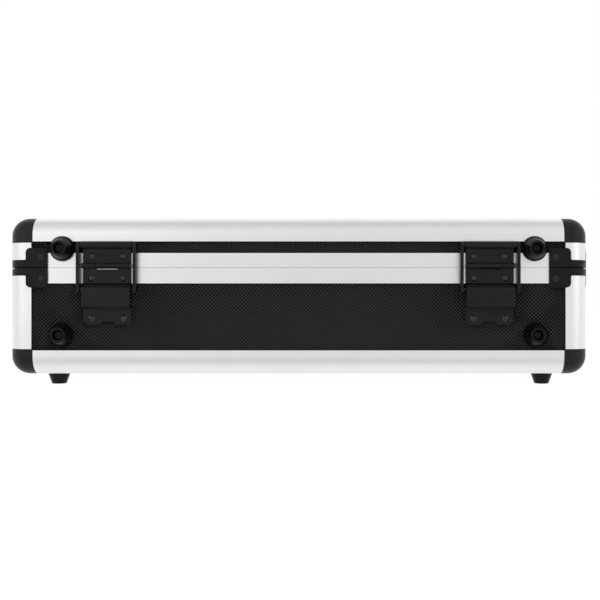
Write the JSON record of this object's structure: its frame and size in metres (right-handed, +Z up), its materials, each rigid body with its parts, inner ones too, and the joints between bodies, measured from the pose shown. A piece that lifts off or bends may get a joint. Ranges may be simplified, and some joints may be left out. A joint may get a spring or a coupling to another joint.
{
  "type": "microphone case",
  "caption": "Shallow aluminium-framed flight case for microphones, with a hinged lid on lid stays, draw latches, a carrying handle, rubber feet and a foam insert.",
  "frame": {"origin": "under the middle of the case's bounding box, on the surface its bottom feet stand on", "axes": "+Z up, the front with latches and handle faces -Y, the hinges and back feet are at +Y, +X is to the right seen from the front"},
  "size_m": [0.4848, 0.3666, 0.1404],
  "materials": {
    "clear_anodised_aluminium": "matte clear anodised, drawn lengthwise",
    "black_laminate": "black laminate over plywood, embossed with small diamonds, satin",
    "black_moulded_plastic": "black moulded, lightly grained",
    "black_hardware_steel": "black powder coat, satin",
    "black_rivets": "black, slightly glossier than the plates",
    "black_rubber": "black rubber, matte",
    "screw_steel": "black oxide",
    "pin_steel": "dark steel",
    "lock_chrome": "chrome plated",
    "handle_plastic": "black moulded grip, fine grain",
    "black_foam": "charcoal polyurethane foam, open cells"
  },
  "bodies": {
    "base": {"base_back_feet": "black_rubber", "base_back_panel": "black_laminate", "base_ball_corners": "black_moulded_plastic", "base_bottom_panel": "black_laminate", "base_clamp_rivets": "black_rivets", "base_corner_clamps": "black_hardware_steel", "base_corner_posts": "clear_anodised_aluminium", "base_foam": "black_foam", "base_foot_screws": "screw_steel", "base_front_panel": "black_laminate", "base_long_edges": "clear_anodised_aluminium", "base_long_valances": "clear_anodised_aluminium", "base_short_edges": "clear_anodised_aluminium", "base_short_valances": "clear_anodised_aluminium", "base_side_panels": "black_laminate", "bottom_feet": "black_rubber", "handle_bracket_rivets": "black_rivets", "handle_brackets": "black_hardware_steel", "handle_pins": "pin_steel", "hinge_base_plate_left": "black_hardware_steel", "hinge_base_plate_right": "black_hardware_steel", "hinge_base_rivets": "black_rivets", "hinge_pin_left": "pin_steel", "hinge_pin_right": "pin_steel", "latch_plate_left": "black_hardware_steel", "latch_plate_right": "black_hardware_steel", "latch_rivets": "black_rivets"},
    "lid": {"hinge_lid_leaf_left": "black_hardware_steel", "hinge_lid_leaf_right": "black_hardware_steel", "hinge_lid_rivets": "black_rivets", "latch_strike_rivets": "black_rivets", "latch_strikes": "black_hardware_steel", "lid_back_feet": "black_rubber", "lid_back_panel": "black_laminate", "lid_ball_corners": "black_moulded_plastic", "lid_clamp_rivets": "black_rivets", "lid_corner_clamps": "black_hardware_steel", "lid_corner_posts": "clear_anodised_aluminium", "lid_foam": "black_foam", "lid_foot_screws": "screw_steel", "lid_front_panel": "black_laminate", "lid_long_edges": "clear_anodised_aluminium", "lid_long_valances": "clear_anodised_aluminium", "lid_short_edges": "clear_anodised_aluminium", "lid_short_valances": "clear_anodised_aluminium", "lid_side_panels": "black_laminate", "lid_top_panel": "black_laminate"},
    "stay_left": {"stay_left": "black_hardware_steel", "stay_pins_left": "pin_steel"},
    "latch_lever_left": {"latch_lever_left": "black_hardware_steel", "claw_pin_left": "pin_steel"},
    "latch_claw_left": {"latch_claw_left": "black_hardware_steel"},
    "lock_left": {"lock_cylinder_left": "lock_chrome"},
    "stay_right": {"stay_right": "black_hardware_steel", "stay_pins_right": "pin_steel"},
    "latch_lever_right": {"latch_lever_right": "black_hardware_steel", "claw_pin_right": "pin_steel"},
    "latch_claw_right": {"latch_claw_right": "black_hardware_steel"},
    "lock_right": {"lock_cylinder_right": "lock_chrome"},
    "handle": {"handle": "handle_plastic"}
  },
  "joints": [
    {"name": "lid_hinge", "type": "hinge", "parent": "base", "child": "lid", "pos_m": [0, 0.17385, 0.1003], "axis": [-1, 0, 0], "range_deg": [0, 92]},
    {"name": "stay_pivot_left", "type": "hinge", "parent": "lid", "child": "stay_left", "pos_m": [-0.1573, 0.17395, 0.1173], "axis": [1, 0, 0], "range_deg": [0, 63.7]},
    {"name": "stay_pivot_right", "type": "hinge", "parent": "lid", "child": "stay_right", "pos_m": [0.1573, 0.17395, 0.1173], "axis": [1, 0, 0], "range_deg": [0, 63.7]},
    {"name": "latch_lever_pivot_left", "type": "hinge", "parent": "base", "child": "latch_lever_left", "pos_m": [-0.15, -0.17355, 0.0917], "axis": [-1, 0, 0], "range_deg": [0, 90]},
    {"name": "latch_claw_pivot_left", "type": "hinge", "parent": "latch_lever_left", "child": "latch_claw_left", "pos_m": [-0.15, -0.17275, 0.0847], "axis": [1, 0, 0], "range_deg": [0, 67.6]},
    {"name": "lock_turn_left", "type": "hinge", "parent": "latch_lever_left", "child": "lock_left", "pos_m": [-0.15, -0.17355, 0.0771], "axis": [0, 1, 0], "range_deg": [0, 90]},
    {"name": "latch_lever_pivot_right", "type": "hinge", "parent": "base", "child": "latch_lever_right", "pos_m": [0.15, -0.17355, 0.0917], "axis": [-1, 0, 0], "range_deg": [0, 90]},
    {"name": "latch_claw_pivot_right", "type": "hinge", "parent": "latch_lever_right", "child": "latch_claw_right", "pos_m": [0.15, -0.17275, 0.0847], "axis": [1, 0, 0], "range_deg": [0, 67.6]},
    {"name": "lock_turn_right", "type": "hinge", "parent": "latch_lever_right", "child": "lock_right", "pos_m": [0.15, -0.17355, 0.0771], "axis": [0, 1, 0], "range_deg": [0, 90]},
    {"name": "handle_swing", "type": "hinge", "parent": "base", "child": "handle", "pos_m": [0, -0.17505, 0.0712], "axis": [-1, 0, 0], "range_deg": [0, 90]}
  ],
  "couplings": [
    {"joint": "stay_pivot_left", "follows": "lid_hinge", "ratio": 0.6917},
    {"joint": "stay_pivot_right", "follows": "lid_hinge", "ratio": 0.6917},
    {"joint": "latch_claw_pivot_left", "follows": "latch_lever_pivot_left", "ratio": 0.75},
    {"joint": "latch_claw_pivot_right", "follows": "latch_lever_pivot_right", "ratio": 0.75}
  ]
}
